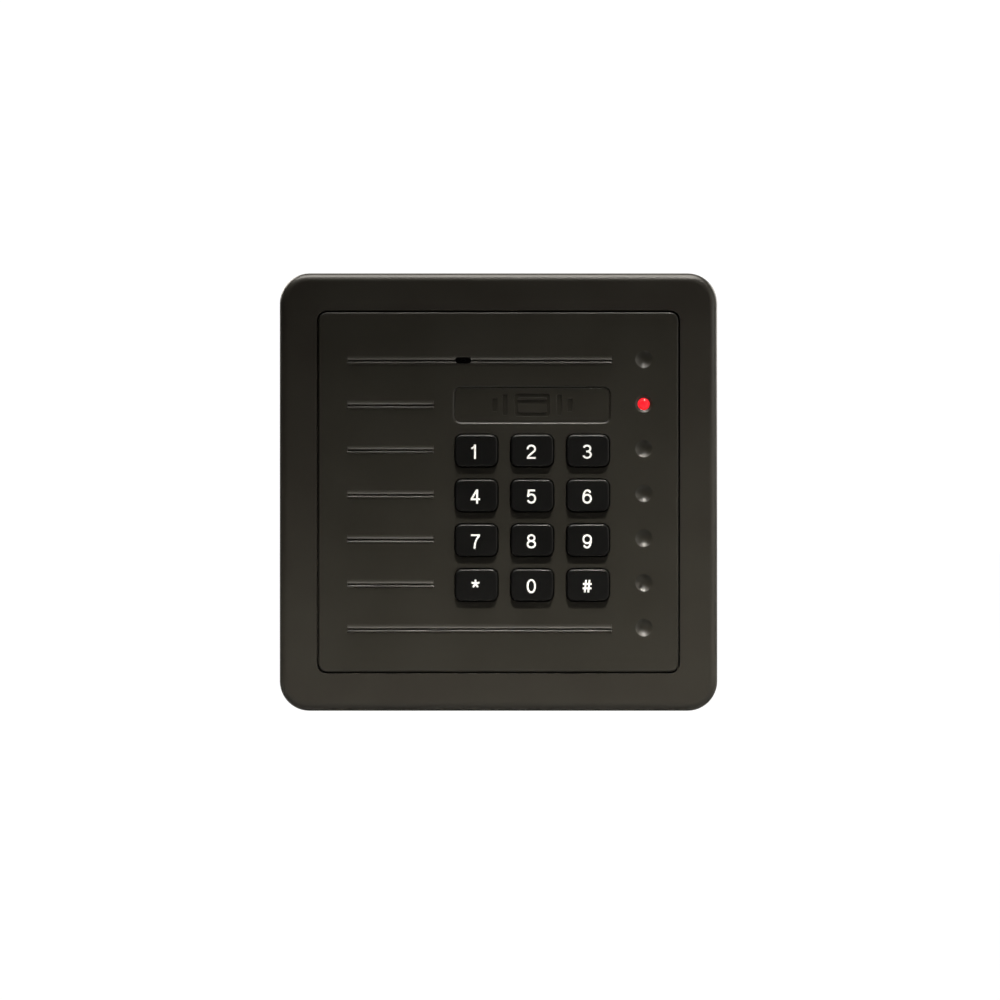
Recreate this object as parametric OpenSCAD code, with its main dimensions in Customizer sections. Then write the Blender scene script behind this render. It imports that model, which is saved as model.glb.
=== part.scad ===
// Surface-mounted access reader with a twelve-key keypad.
// A wall plate carries four hooks; the reader head drops onto them and a
// security screw locks it from below. X runs right, Z up, the front faces -Y
// and the wall is the plane y = 0. All sizes are millimetres, and a "depth"
// is a distance out from the wall.

/* [Case] */
// Width of the case
body_w = 127; // [120:0.1:160]
// Height of the case
body_h = 127; // [114:0.1:160]
// Depth of the case, wall to front face
body_d = 25.4; // [25:0.1:34]
// Radius of the outside corners
corner_r = 8.6; // [5:0.1:12]
// Rounding of the front edge
edge_r = 2.6; // [1:0.1:3]
// Width of the frame around the face panel
border = 10.9; // [9:0.1:14]
// Thickness of the case wall behind the cover seal
wall_t = 2.5; // [2:0.1:4]

/* [Face panel] */
// Thickness of the face panel
panel_t = 2.4; // [2:0.1:3.2]
// Gap all round the face panel
panel_gap = 0.5; // [0.3:0.05:0.8]
// Distance between rows of dimples, grooves and keys
row_pitch = 12.96; // [12:0.02:16]
// Diameter of the round dimples
dimple_d = 5; // [4:0.1:6]
// Depth of the round dimples
dimple_deep = 1; // [0.6:0.1:1.4]
// Width of the row grooves
groove_w = 1; // [0.7:0.05:1.4]
// Length of the top and bottom grooves
groove_long = 76.6; // [60:0.1:80]
// Length of the other grooves
groove_short = 25; // [12:0.1:27]

/* [Keys] */
// Distance between key columns
key_pitch = 16.15; // [15:0.01:20]
// Width of a key cap
cap_w = 12.2; // [10:0.1:13.6]
// Height of a key cap
cap_h = 9.2; // [7.5:0.1:10.4]
// Height of the key caps above the panel
key_proud = 1.6; // [1:0.1:2.4]
// Travel of a key
key_travel = 1; // [0.6:0.1:1.3]
// Gap round a key cap in its aperture
key_gap = 0.3; // [0.2:0.05:0.5]

/* [Wall plate] */
// Thickness of the wall plate
plate_t = 2.5; // [2:0.1:3]
// Width of the cable opening
cable_w = 64; // [48:0.5:68]
// Height of the cable opening
cable_h = 44; // [36:0.5:46]
// Distance between the electrical box screws
gang_pitch = 83.3; // [60:0.1:84]
// Width of the wall plate slots and screw holes
plate_hole_d = 4.4; // [3.5:0.1:5]
// Lift that frees the reader head from its hooks
lift = 6; // [5:0.1:7.5]

/* [Screws] */
// Shank diameter of the security screw
lock_d = 3.5; // [3:0.1:4]
// Shank diameter of the case screws
screw_d = 2.2; // [2:0.1:2.6]
// Shank diameter of the board screws
board_screw_d = 2; // [1.8:0.1:2.4]

/* [Hidden] */
$fn = 64;
eps = 0.02;
past = 1;                            // how far a cutter runs past a face
bite = 0.05;                         // play on the radius of a screw in its bore
clear = 0.5;                         // play at the end of a movement

// panel and its opening
open_w = body_w - 2 * border;
open_h = body_h - 2 * border;
panel_w = open_w - 2 * panel_gap;
panel_h = open_h - 2 * panel_gap;
open_r = 3;
ledge_r = 2;
panel_r = open_r - panel_gap;
ledge_w = 3.6;
ledge_t = 2;
d_face = body_d;
d_panel = d_face - panel_t;          // rear face of the panel
panel_seat = 0.1;                    // play between the panel and its ledge
d_ledge = d_panel - panel_seat;      // front face of the ledge under it
d_tab = d_ledge - ledge_t;           // front face of the corner tabs
tab_t = 2;

// rows shared by grooves, dimples and keys
row_mid = -0.38;                     // the rows stand a little below centre
function row_z(i) = row_mid + (3 - i) * row_pitch;
groove_drop = 0.75;
key_drop = 0.6;
groove_deep = 0.9;
groove_bevel = 0.35;                 // depth of the bevel below the slot
lip_h = 1.4;
lip_proud = 0.3;
dimple_x = panel_w / 2 - 10;
dimple_ball = (pow(dimple_d / 2, 2) + pow(dimple_deep, 2)) / (2 * dimple_deep);
sound_w = 4.6;
sound_h = 1.9;

// keys
key_cx = dimple_x - 10.1 - cap_w / 2 - key_pitch;
cap_r = 2;
cap_roll = 0.5;
flange_t = 0.8;
flange_out = 0.95;
d_flange = d_panel - 0.3;            // front of the key flange
d_mat_top = d_flange - flange_t;     // top of the mat's domes
pill_t = 0.5;
dome_t = 0.7;
d_board_f = d_mat_top - dome_t - pill_t - key_travel - 0.05;
kb_t = 1.6;
mat_t = 0.7;
kb_w = 2 * key_pitch + cap_w + 14.5;
kb_h = 3 * row_pitch + cap_h + 8;
kb_cz = (row_z(2) + row_z(5)) / 2 - key_drop;
kb_sx = kb_w / 2 - 3;
kb_sz = kb_h / 2 - 3.5;
function key_x(c) = key_cx + (c - 1) * key_pitch;
function key_z(r) = row_z(r + 2) - key_drop;

// the short grooves stop clear of the first key column
groove_clear = 6.3;
groove_x0 = key_x(0) - cap_w / 2 - groove_clear - groove_short;
sound_x = groove_x0 + 33.6;

// label
label_w = 2 * key_pitch + cap_w + 0.3;
label_h = 9.8;
label_x = key_cx;
label_z = row_z(1) - 0.3;
label_gap = 0.12;
label_sink = 0.35;                   // the label lies a little below the panel
label_t = 0.75;
label_r = 1.7;
sign_deep = 0.4;
card_w = 10.4;
card_h = 6.6;
card_line = 1.1;
card_r = 1.4;
card_in_r = 0.9;
stripe_up = 0.9;
stripe_h = 1.2;
bar_w = 1.5;
bar_h = 6;
bar_x = 7.9;
bar_pitch = 3;
bar_less = 2.2;

// wall plate, rear cover and main board, from the wall out
plate_w = body_w - 11;
d_case = 0.3;                        // rear edge of the case
d_cover = 6;
cover_t = 2;
seal_t = 0.6;
d_seal = d_cover + cover_t;
d_step = d_seal + seal_t;            // ledge the seal lies on
rear_w = body_w - 2 * wall_t;
rear_h = body_h - 2 * wall_t;
rear_r = corner_r - wall_t;
plate_h = rear_h - 2 * (lift + clear);
step_w = 1.5;
front_w = rear_w - 2 * step_w;
front_h = rear_h - 2 * step_w;
front_r = rear_r - step_w;
cover_gap = 0.2;
plate_r = 4;
slot_l = 8;                          // length of the electrical box slots
hole_in_x = 8;
hole_in_z = 7.5;
rib_w = 1.5;
boss_r = 3;
boss_in = 2.5;
boss_x = front_w / 2 - boss_in;
boss_z = front_h / 2 - boss_in;
boss_bore = 9;                       // depth of the bores for the cover screws
d_mb_r = 11.8;
mb_t = 1.6;
d_mb_f = d_mb_r + mb_t;
mb_w = open_w - 1;
mb_h = open_h - 1;
mb_sx = 26;
mb_sz = open_h / 2 - 10.5;
tab_in = 7.5;
tab_w = 13;
tab_c = open_w / 2 - tab_in;
tab_cz = open_h / 2 - tab_in;

// antenna ring
coil_out = open_w / 2 - 2.6;
coil_outz = open_h / 2 - 2.6;
coil_wide = 3.5;
coil_t = 2;
d_former = d_mb_f;
former_floor = 1.3;
former_wall = 0.9;
former_play = 0.1;
former_r = 7;
former_in = coil_outz - coil_wide - former_wall - former_play;

// sounder, just inside the antenna ring
buzzer_r = 5.6;
buzzer_port = 1;
buzzer_gap = 2.6;                    // from the sounder to the panel
buzzer_z = former_in - buzzer_r - 2.2;

// hooks
hook_x = 34;
hook_w = 6;
hook_stem = 2.5;
hook_lip = lift - 1;
hook_lip_t = 1.5;
hook_gap = 0.3;
hook_zs = [open_h / 2 - 14.5, -open_h / 2 + 26.5];
hook_side = 0.5;

// lock and tamper
lug_z0 = -front_h / 2 + lift + clear;  // clears the case wall at full lift
lug_h = 7;
lug_w = 15;
lug_d = 8;
lug_y = 6.75;
lock_play = 0.08;                    // play on the radius of the security screw
head_play = 0.3;
insert_wall = 1.2;
insert_r = lock_d / 2 + insert_wall;
lock_grip = 4;                       // length of screw held in the insert
lock_head_r = 3.2;
lock_head_t = 1.6;
tamper_x = 16;
tamper_z = -32;
plunger_r = 1.5;
ramp_run = 6;                        // the ramp falls 1 in 6
ramp_h = 1.3;
tip_gap = 0.1;

// terminals
term_n = 8;
term_p = 5.08;
term_w = term_n * term_p + 1.4;
term_h = 10;
term_d = 8;
term_z = 2;
term_y0 = d_mb_r - term_d;

// small fittings
screw_head_r = 2.1;
screw_head_t = 1.3;
board_head_r = 1.9;
board_head_t = 1.1;
board_play = 0.15;                   // round the screws through a board
post_r = 3;
key_post_r = 2.4;

// lens and the lamp behind it
lens_r = 1.65;
lens_play = 0.1;
lens_flange_r = 2.3;
lens_tip = 1.2;
lens_dome = 2;
lens_low = 0.35;                     // the dome's top lies this far below the panel
lens_gap = 0.3;
led_r = 1.5;
led_h = 4;
led_base_r = 1.9;
led_base_t = 1;

// rubber dome under each key
dome_r = 3.5;
dome_top_r = 2.5;
dome_in_r = 2.85;
dome_in_top_r = 1.9;
pill_r = 1.75;

// columns of parts on the main board, and the clamps in the terminals
chip_x = -mb_w * 0.31;
small_x = 8.6;
term_up = 1.4;
access_r = 1.9;
access_t = 1.6;
clamp_w = 3.7;
clamp_h = 4.2;
clamp_t = 5;

// ------------------------------------------------------------ helpers

// rounded rectangle made from two plain ones and four corner circles
module rrect(w, h, r) {
    square([w - 2 * r, h], center = true);
    square([w, h - 2 * r], center = true);
    for (sx = [-1, 1], sz = [-1, 1])
        translate([sx * (w / 2 - r), sz * (h / 2 - r)]) circle(r);
}

// a front outline made solid between two depths from the wall
module layer(d0, d1) {
    rotate([90, 0, 0]) translate([0, 0, d0]) linear_extrude(d1 - d0) children();
}

// rounded block whose front edge is rolled over with radius e
module rolled(w, h, r, e, d0, d1) {
    layer(d0, d1 - e) rrect(w, h, r);
    layer(d1 - e - eps, d1) rrect(w - 2 * e, h - 2 * e, r - e);
    for (s = [-1, 1]) {
        translate([s * (w / 2 - e), e - d1, 0]) intersection() {
            cylinder(h = h - 2 * r, r = e, center = true);
            translate([0, -e, 0]) cube([2 * e, 2 * e, h], center = true);
        }
        translate([0, e - d1, s * (h / 2 - e)])
            rotate([0, 90, 0]) intersection() {
            cylinder(h = w - 2 * r, r = e, center = true);
            translate([0, -e, 0]) cube([2 * e, 2 * e, w], center = true);
        }
    }
    for (sx = [-1, 1], sz = [-1, 1])
        translate([sx * (w / 2 - r), e - d1, sz * (h / 2 - r)])
            rotate([90, 0, 0])
                rotate_extrude() intersection() {
                    translate([r - e, 0]) circle(e);
                    square([r, e]);
                }
}

// round rod along the depth, at x, z
module rod(x, z, r, d0, d1) {
    translate([x, -d0, z]) rotate([90, 0, 0]) cylinder(h = d1 - d0, r = r);
}

// box between two depths, centred on x, z
module block(x, z, w, h, d0, d1) {
    translate([x - w / 2, -d1, z - h / 2]) cube([w, d1 - d0, h]);
}

module four(x, z) {
    for (sx = [-1, 1], sz = [-1, 1]) translate([sx * x, 0, sz * z]) children();
}

// pan-headed screw whose head seats at depth d and points to +Y (dir 1) or -Y
module pan_screw(d, dir, len, r, head_r, head_t) {
    translate([0, -d, 0]) rotate([dir > 0 ? -90 : 90, 0, 0]) {
        difference() {
            cylinder(h = head_t, r = head_r);
            translate([0, 0, head_t - 0.7]) cross(head_r * 1.2, 0.6, 1);
        }
        translate([0, 0, -len]) cylinder(h = len + eps, r = r);
    }
}

module cross(l, t, h) {
    translate([-l / 2, -t / 2, 0]) cube([l, t, h]);
    translate([-t / 2, -l / 2, 0]) cube([t, l, h]);
}

// ------------------------------------------------------------ wall side

module mounting_plate() {
    color("#8f9296") {
        difference() {
            layer(0, plate_t) rrect(plate_w, plate_h, plate_r);
            layer(-past, plate_t + past) rrect(cable_w, cable_h, plate_r - 1);
            for (s = [-1, 1])
                layer(-past, plate_t + past) translate([0, s * gang_pitch / 2]) {
                    square([plate_hole_d, slot_l - plate_hole_d], center = true);
                    for (e = [-1, 1])
                        translate([0, e * (slot_l - plate_hole_d) / 2]) circle(plate_hole_d / 2);
                }
            four(plate_w / 2 - hole_in_x, plate_h / 2 - hole_in_z)
                rod(0, 0, plate_hole_d / 2, -past, plate_t + past);
        }
        for (sx = [-1, 1], z = hook_zs) translate([sx * hook_x, 0, z]) wall_hook();
        lock_lug();
        // stiffening ribs beside the cable opening
        for (s = [-1, 1])
            block(s * (cable_w / 2 + 2 * rib_w), 0, rib_w, cable_h, plate_t - eps, plate_t + rib_w);
        tamper_ramp();
    }
}

// stem standing out of the plate with a lip turned up behind the cover
module wall_hook() {
    lip_d = d_cover + cover_t + hook_gap;
    block(0, -hook_stem / 2, hook_w, hook_stem, plate_t - eps, lip_d + hook_lip_t);
    block(0, hook_lip / 2 - hook_stem / 2, hook_w, hook_lip + hook_stem, lip_d,
        lip_d + hook_lip_t);
}

module lock_lug() {
    difference() {
        block(0, lug_z0 + lug_h / 2, lug_w, lug_h, plate_t - eps, plate_t + lug_d);
        translate([0, -lug_y, lug_z0 - past]) cylinder(h = lug_h + 2 * past, r = insert_r);
    }
}

module tamper_ramp() {
    za = tamper_z - plunger_r;
    zt = za + ramp_h * ramp_run;
    zb = za - 3;
    translate([tamper_x - 3, 0, 0])
        rotate([90, 0, 90])
            linear_extrude(6)
                polygon([[-plate_t + eps, zb], [-plate_t - ramp_h - 3 / ramp_run, zb],
                    [-plate_t, zt], [-plate_t + eps, zt]]);
}

module lug_insert() {
    color("#c9a24a")
        translate([0, -lug_y, lug_z0])
            difference() {
                cylinder(h = lug_h, r = insert_r);
                translate([0, 0, -past])
                    cylinder(h = lug_h + 2 * past, r = lock_d / 2 + lock_play);
            }
}

// ------------------------------------------------------------ case

module front_frame() {
    color("#26251f")
    difference() {
        union() {
            difference() {
                rolled(body_w, body_h, corner_r, edge_r, d_case, body_d);
                // deep space outside the panel ledge
                difference() {
                    layer(d_case - past, d_ledge) rrect(front_w, front_h, front_r);
                    layer(d_case - 2, d_ledge + past) rrect(open_w + 5, open_h + 5, open_r + 1);
                }
                // everything behind the ledge
                layer(d_case - past, d_tab) rrect(front_w, front_h, front_r);
                // seat for the seal and cover
                layer(d_case - past, d_step) rrect(rear_w, rear_h, rear_r);
            }
            four(tab_c - 1, tab_cz - 1)
                block(0, 0, tab_w, tab_w, d_tab - tab_t, d_tab + eps);
            four(boss_x, boss_z) rod(0, 0, boss_r, d_step, d_ledge + eps);
        }
        layer(d_ledge, d_face + past) rrect(open_w, open_h, open_r);
        difference() {
            layer(d_tab - tab_t - past, d_face + past)
                rrect(open_w - 2 * ledge_w, open_h - 2 * ledge_w, ledge_r);
            four(tab_c, tab_cz) block(0, 0, tab_w - 2, tab_w - 2, d_tab - 2 * tab_t - past, d_tab);
        }
        four(tab_c, tab_cz)
            rod(0, 0, screw_d / 2 + 2 * bite, d_tab - tab_t - past, d_tab + past);
        four(boss_x, boss_z) rod(0, 0, screw_d / 2 + bite, d_step - past, d_step + boss_bore);
        lock_hole();
    }
}

module lock_hole() {
    translate([0, -lug_y, -body_h / 2 - past]) {
        cylinder(h = wall_t + 3 * past, r = lock_d / 2 + lock_play);
        cylinder(h = past + lock_head_t, r = lock_head_r + head_play);
    }
}

module face_panel() {
    color("#2c2b24")
    difference() {
        union() {
            layer(d_panel, d_face) rrect(panel_w, panel_h, panel_r);
            four(tab_c, tab_cz) rod(0, 0, post_r, d_tab + bite, d_panel + eps);
            four_key() rod(0, 0, key_post_r, d_board_f, d_panel + eps);
            for (i = [0:6]) groove_lip(i);
        }
        for (i = [0:6]) groove_cut(i);
        for (i = [0:6])
            translate([dimple_x, -(d_face - dimple_deep + dimple_ball), row_z(i)])
                sphere(dimple_ball);
        rod(dimple_x, row_z(1), lens_r + lens_play, d_panel - past, d_face + past);
        // sounder slot
        layer(d_panel - past, d_face + past)
            translate([sound_x, row_z(0) - groove_drop / 2]) {
                square([sound_w - sound_h, sound_h], center = true);
                for (e = [-1, 1])
                    translate([e * (sound_w - sound_h) / 2, 0]) circle(sound_h / 2);
            }
        // label recess
        layer(d_face - label_sink - label_t, d_face + past)
            translate([label_x, label_z])
                rrect(label_w + 2 * label_gap, label_h + 2 * label_gap, label_r + label_gap);
        for (c = [0:2], r = [0:3])
            layer(d_panel - past, d_face + past)
                translate([key_x(c), key_z(r)])
                    rrect(cap_w + 2 * key_gap, cap_h + 2 * key_gap, cap_r + key_gap);
        four(tab_c, tab_cz) rod(0, 0, screw_d / 2 + bite, d_tab - past, d_face - 0.9);
        four_key() rod(0, 0, board_screw_d / 2 + bite, d_board_f - past, d_face - 1.4);
    }
}

module four_key() {
    translate([key_cx, 0, kb_cz]) four(kb_sx, kb_sz) children();
}

function groove_len(i) = i == 0 || i == 6 ? groove_long : groove_short;

module groove_lip(i) {
    z = row_z(i) - groove_drop;
    translate([groove_x0, 0, z])
        rotate([90, 0, 90])
            linear_extrude(groove_len(i))
                polygon([[-d_face + eps, groove_w / 2 + lip_h], [-d_face, groove_w / 2 + lip_h],
                    [-d_face - lip_proud, groove_w / 2], [-d_face + eps, groove_w / 2]]);
}

module groove_cut(i) {
    z = row_z(i) - groove_drop;
    translate([groove_x0, 0, z])
        rotate([90, 0, 90])
            linear_extrude(groove_len(i))
                polygon([[-d_face - 1, groove_w / 2], [-d_face + groove_deep, groove_w / 2],
                    [-d_face + groove_deep, 0], [-d_face + groove_bevel, 0],
                    [-d_face, -groove_w / 2], [-d_face - 1, -groove_w / 2]]);
}

module label_plate() {
    d1 = d_face - label_sink;
    color("#2c2b24")
    difference() {
        layer(d1 - label_t, d1)
            translate([label_x, label_z]) rrect(label_w, label_h, label_r);
        // sunk card outline
        difference() {
            layer(d1 - sign_deep, d_face)
                translate([label_x, label_z]) rrect(card_w, card_h, card_r);
            layer(d1 - past, d_face + past)
                translate([label_x, label_z])
                    rrect(card_w - 2 * card_line, card_h - 2 * card_line, card_in_r);
        }
        block(label_x, label_z + stripe_up, card_w - card_line, stripe_h, d1 - sign_deep, d_face);
        for (s = [-1, 1], k = [0, 1])
            block(label_x + s * (bar_x + bar_pitch * k), label_z, bar_w, bar_h - bar_less * k,
                d1 - sign_deep, d_face);
    }
}

module panel_screws() {
    color("#b9bcc0")
        four(tab_c, tab_cz)
            pan_screw(d_tab - tab_t, 1, d_face - 1.1 - d_tab + tab_t, screw_d / 2, screw_head_r, screw_head_t);
}

module rear_cover() {
    color("#1f1f1d")
    difference() {
        union() {
            layer(d_cover, d_seal)
                rrect(rear_w - 2 * cover_gap, rear_h - 2 * cover_gap, rear_r - cover_gap);
            four(mb_sx, mb_sz) rod(0, 0, post_r, d_seal - eps, d_mb_r);
            // raised rim that keeps the board off the hooks
            for (s = [-1, 1])
                block(s * (mb_w / 2 - 1), 0, 2, mb_h * 0.7, d_seal - eps, d_mb_r);
        }
        // wiring window
        layer(d_cover - past, d_seal + past)
            translate([0, -2]) rrect(term_w + 10, 30, 3);
        for (sx = [-1, 1], z = hook_zs)
            block(sx * hook_x, z + 0.1 - (hook_stem + lift + 0.6) / 2,
                hook_w + 2 * hook_side, hook_stem + lift + 0.6, d_cover - past, d_seal + past);
        // notch round the lock lug
        translate([-lug_w / 2 - 1, -d_seal - past, -rear_h / 2 - 1])
            cube([lug_w + 2, cover_t + 2, lug_z0 + lug_h + rear_h / 2 + 1.5]);
        rod(tamper_x, tamper_z, plunger_r + 0.4, d_cover - past, d_seal + past);
        four(boss_x, boss_z) rod(0, 0, screw_d / 2 + 0.2, d_cover - past, d_seal + past);
        four(mb_sx, mb_sz) rod(0, 0, board_screw_d / 2 + bite, d_cover + 1, d_mb_r + past);
    }
}

module cover_screws() {
    color("#b9bcc0")
        four(boss_x, boss_z) pan_screw(d_cover, 1, 9.5, screw_d / 2, screw_head_r, screw_head_t);
}

module cover_seal() {
    color("#3a3a3a")
    difference() {
        layer(d_seal, d_step)
            rrect(rear_w - 2 * cover_gap - 0.2, rear_h - 2 * cover_gap - 0.2, rear_r - 0.3);
        layer(d_seal - past, d_step + past)
            rrect(front_w + 0.1, front_h + 0.1, front_r);
        block(0, -rear_h / 2 + 2, lug_w + 2, 8, d_seal - past, d_step + past);
    }
}

// ------------------------------------------------------------ indicator, sounder

module led_lens() {
    color("#c8202a") {
        rod(dimple_x, row_z(1), lens_r, d_mb_f + led_h + lens_gap, d_face - lens_tip);
        rod(dimple_x, row_z(1), lens_flange_r, d_panel - 0.9, d_panel - 0.05);
        // domed tip
        intersection() {
            rod(dimple_x, row_z(1), lens_r, d_face - lens_tip - eps, d_face);
            translate([dimple_x, -(d_face - lens_dome - lens_low), row_z(1)]) sphere(lens_dome);
        }
    }
}

module status_led() {
    color("#e8e2d8") {
        rod(dimple_x, row_z(1), led_r, d_mb_f + led_base_t, d_mb_f + led_h);
        rod(dimple_x, row_z(1), led_base_r, d_mb_f, d_mb_f + led_base_t + eps);
    }
}

module buzzer() {
    d1 = d_panel - buzzer_gap;
    color("#141414")
    difference() {
        rod(sound_x, buzzer_z, buzzer_r, d_mb_f, d1);
        rod(sound_x, buzzer_z, buzzer_port, d1 - 1.5 * buzzer_port, d1 + past);
    }
}

// ------------------------------------------------------------ keypad

module keypad_mat() {
    color("#4a4d52")
    difference() {
        union() {
            layer(d_board_f, d_board_f + mat_t)
                translate([key_cx, kb_cz]) rrect(kb_w - 1, kb_h - 1, 2);
            for (c = [0:2], r = [0:3]) dome(key_x(c), key_z(r), dome_r, dome_top_r, d_mat_top);
        }
        for (c = [0:2], r = [0:3]) {
            dome(key_x(c), key_z(r), dome_in_r, dome_in_top_r, d_mat_top - dome_t);
            rod(key_x(c), key_z(r), dome_in_r, d_board_f - past, d_board_f);
        }
        four_key() rod(0, 0, key_post_r + 0.3, d_board_f - past, d_board_f + mat_t + past);
    }
}

// rubber dome between the board and depth d
module dome(x, z, r0, r1, d) {
    translate([x, -d_board_f, z])
        rotate([90, 0, 0]) cylinder(h = d - d_board_f, r1 = r0, r2 = r1);
}

module keypad_board() {
    color("#1f5a35")
    difference() {
        layer(d_board_f - kb_t, d_board_f)
            translate([key_cx, kb_cz]) rrect(kb_w, kb_h, 2);
        four_key() rod(0, 0, board_screw_d / 2 + board_play, d_board_f - kb_t - past, d_board_f + past);
    }
}

module keypad_screws() {
    color("#b9bcc0")
        four_key() pan_screw(d_board_f - kb_t, 1, kb_t + d_panel - d_board_f + 0.6,
            board_screw_d / 2, board_head_r, board_head_t);
}

// cap standing through the panel with a stop flange behind it
module key_cap(c, r) {
    color("#0d0d0d") translate([key_x(c), 0, key_z(r)]) {
        layer(d_mat_top, d_flange)
            rrect(cap_w + 2 * flange_out, cap_h + 2 * flange_out, cap_r + 0.6);
        rolled(cap_w, cap_h, cap_r, cap_roll, d_flange - eps, d_face + key_proud);
    }
}

module key_pill(c, r) {
    color("#1a1a1a")
        rod(key_x(c), key_z(r), pill_r, d_mat_top - dome_t - pill_t, d_mat_top - dome_t);
}

// ------------------------------------------------------------ electronics

module main_board() {
    color("#1f5a35")
    difference() {
        layer(d_mb_r, d_mb_f) rrect(mb_w, mb_h, 3);
        four(mb_sx, mb_sz) rod(0, 0, board_screw_d / 2 + board_play, d_mb_r - past, d_mb_f + past);
    }
}

module main_board_screws() {
    color("#b9bcc0")
        four(mb_sx, mb_sz) pan_screw(d_mb_f, -1, mb_t + 3.2, board_screw_d / 2, board_head_r, board_head_t);
}

module antenna_former() {
    out = former_wall + former_play;
    color("#d8d4c6")
    difference() {
        layer(d_former, d_former + former_floor + coil_t)
            rrect(2 * (coil_out + out), 2 * (coil_outz + out), former_r + out);
        layer(d_former - past, d_former + 9)
            rrect(2 * (coil_out - coil_wide - out), 2 * (coil_outz - coil_wide - out),
                former_r - coil_wide - out);
        difference() {
            layer(d_former + former_floor, d_former + 9)
                rrect(2 * (coil_out + 0.1), 2 * (coil_outz + 0.1), former_r + 0.1);
            layer(d_former, d_former + 10)
                rrect(2 * (coil_out - coil_wide - 0.1), 2 * (coil_outz - coil_wide - 0.1),
                    former_r - coil_wide - 0.1);
        }
    }
}

module antenna_coil() {
    color("#b5672c")
    difference() {
        layer(d_former + former_floor, d_former + former_floor + coil_t - 0.3)
            rrect(2 * coil_out, 2 * coil_outz, former_r);
        layer(d_former, d_former + 9)
            rrect(2 * (coil_out - coil_wide), 2 * (coil_outz - coil_wide),
                former_r - coil_wide);
    }
}

// flat chip with legs down two sides
module chip(x, z, w, h, t, legs) {
    block(x, z, w, h, d_mb_f + 0.15, d_mb_f + t);
    for (s = [-1, 1], i = [0:legs - 1])
        block(x + s * (w / 2 + 0.45), z + (i - (legs - 1) / 2) * h * 0.88 / legs,
            1 + eps, h * 0.38 / legs, d_mb_f, d_mb_f + 0.6);
}

module microcontroller() {
    color("#17181a") chip(chip_x, mb_h * 0.04, 9, 12, 1.6, 12);
}

module reader_chip() {
    color("#17181a") chip(chip_x, -mb_h * 0.17, 7.5, 9, 1.8, 8);
}

module regulator() {
    x = chip_x;
    z = mb_h * 0.27;
    color("#17181a") {
        block(x, z, 6.6, 6.1, d_mb_f, d_mb_f + 2.3);
        block(x, z + 3.6, 5.4, 1.2, d_mb_f, d_mb_f + 0.6);
        for (s = [-1, 1]) block(x + s * 2.28, z - 4.1, 0.8, 2.2, d_mb_f, d_mb_f + 0.5);
    }
}

module capacitors() {
    color("#a9adb1")
        for (k = [[-0.4, 0.38], [-0.32, 0.38], [-0.4, -0.34]])
            rod(mb_w * k[0], mb_h * k[1], 2.5, d_mb_f, d_mb_f + 3.4);
}

module crystal() {
    color("#c2c5c8")
        layer(d_mb_f, d_mb_f + 3)
            translate([chip_x, -mb_h * 0.285]) rrect(10.6, 4.4, 2.15);
}

module small_parts() {
    color("#8c7a5c")
        for (i = [0:5], s = [-1, 1])
            block(chip_x + s * small_x, mb_h * (0.14 - 0.075 * i), 1.25, 2,
                d_mb_f, d_mb_f + 0.55);
}

module board_link() {
    color("#121212")
        block(key_cx, kb_cz + kb_h / 2 - 4.5, 22, 5, d_mb_f, d_board_f - kb_t);
}

module terminal_block() {
    color("#2f7d4a")
    difference() {
        block(0, term_z, term_w, term_h, term_y0, d_mb_r);
        for (i = [0:term_n - 1]) {
            rod(term_x(i), term_z + term_up, access_r, term_y0 - past, term_y0 + access_t);
            // wire entry and the space for the clamp behind it
            block(term_x(i), term_z - term_h / 2 + 1.5, 3.4, 5, term_y0 + 2.9, term_y0 + 6.1);
            block(term_x(i), term_z + term_up, clamp_w, clamp_h, term_y0 + access_t - eps,
                term_y0 + access_t + clamp_t);
        }
    }
}

function term_x(i) = (i - (term_n - 1) / 2) * term_p;

module terminal_screws() {
    color("#c4c7ca")
        for (i = [0:term_n - 1]) translate([term_x(i), 0, term_z + 1.4])
            difference() {
                union() {
                    rod(0, 0, 1.8, term_y0 + 0.3, term_y0 + 1.5);
                    rod(0, 0, 1.2, term_y0 + 1.4, term_y0 + 3.4);
                }
                block(0, 0, 3.8, 0.55, term_y0 - past, term_y0 + 0.9);
            }
}

module terminal_clamps() {
    color("#c9a24a")
        for (i = [0:term_n - 1])
            difference() {
                block(term_x(i), term_z + 1.4, 3.5, 4, term_y0 + 1.7, term_y0 + 6.5);
                block(term_x(i), term_z + 1.4, 2.5, 5, term_y0 + 3.6, term_y0 + 5.7);
                rod(term_x(i), term_z + 1.4, 1.25, term_y0, term_y0 + 4);
            }
}

// ------------------------------------------------------------ tamper switch and lock

module tamper_switch() {
    color("#1b1b1d")
    difference() {
        block(tamper_x, tamper_z, 8, 7, d_seal + 0.4, d_mb_r);
        rod(tamper_x, tamper_z, plunger_r + 0.05, 0, d_mb_r - 0.8);
    }
}

module tamper_plunger() {
    color("#e6e0cf")
        rod(tamper_x, tamper_z, plunger_r, plate_t + ramp_h + tip_gap, d_mb_r - 0.9);
}

module security_screw() {
    top = lug_z0 + lock_grip;
    seat = -body_h / 2 + lock_head_t - 0.05;
    color("#9b9ea2")
        translate([0, -lug_y, 0])
            difference() {
                union() {
                    translate([0, 0, seat]) cylinder(h = top - seat, r = lock_d / 2);
                    translate([0, 0, seat - lock_head_t + 0.1])
                        cylinder(h = lock_head_t - 0.1, r = lock_head_r);
                }
                // six-lobe socket round a centre pin
                translate([0, 0, seat - lock_head_t - 1])
                    difference() {
                        cylinder(h = 2.3, r = 1.6, $fn = 6);
                        cylinder(h = 3, r = 0.5);
                    }
            }
}

// ------------------------------------------------------------ nodes

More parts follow.
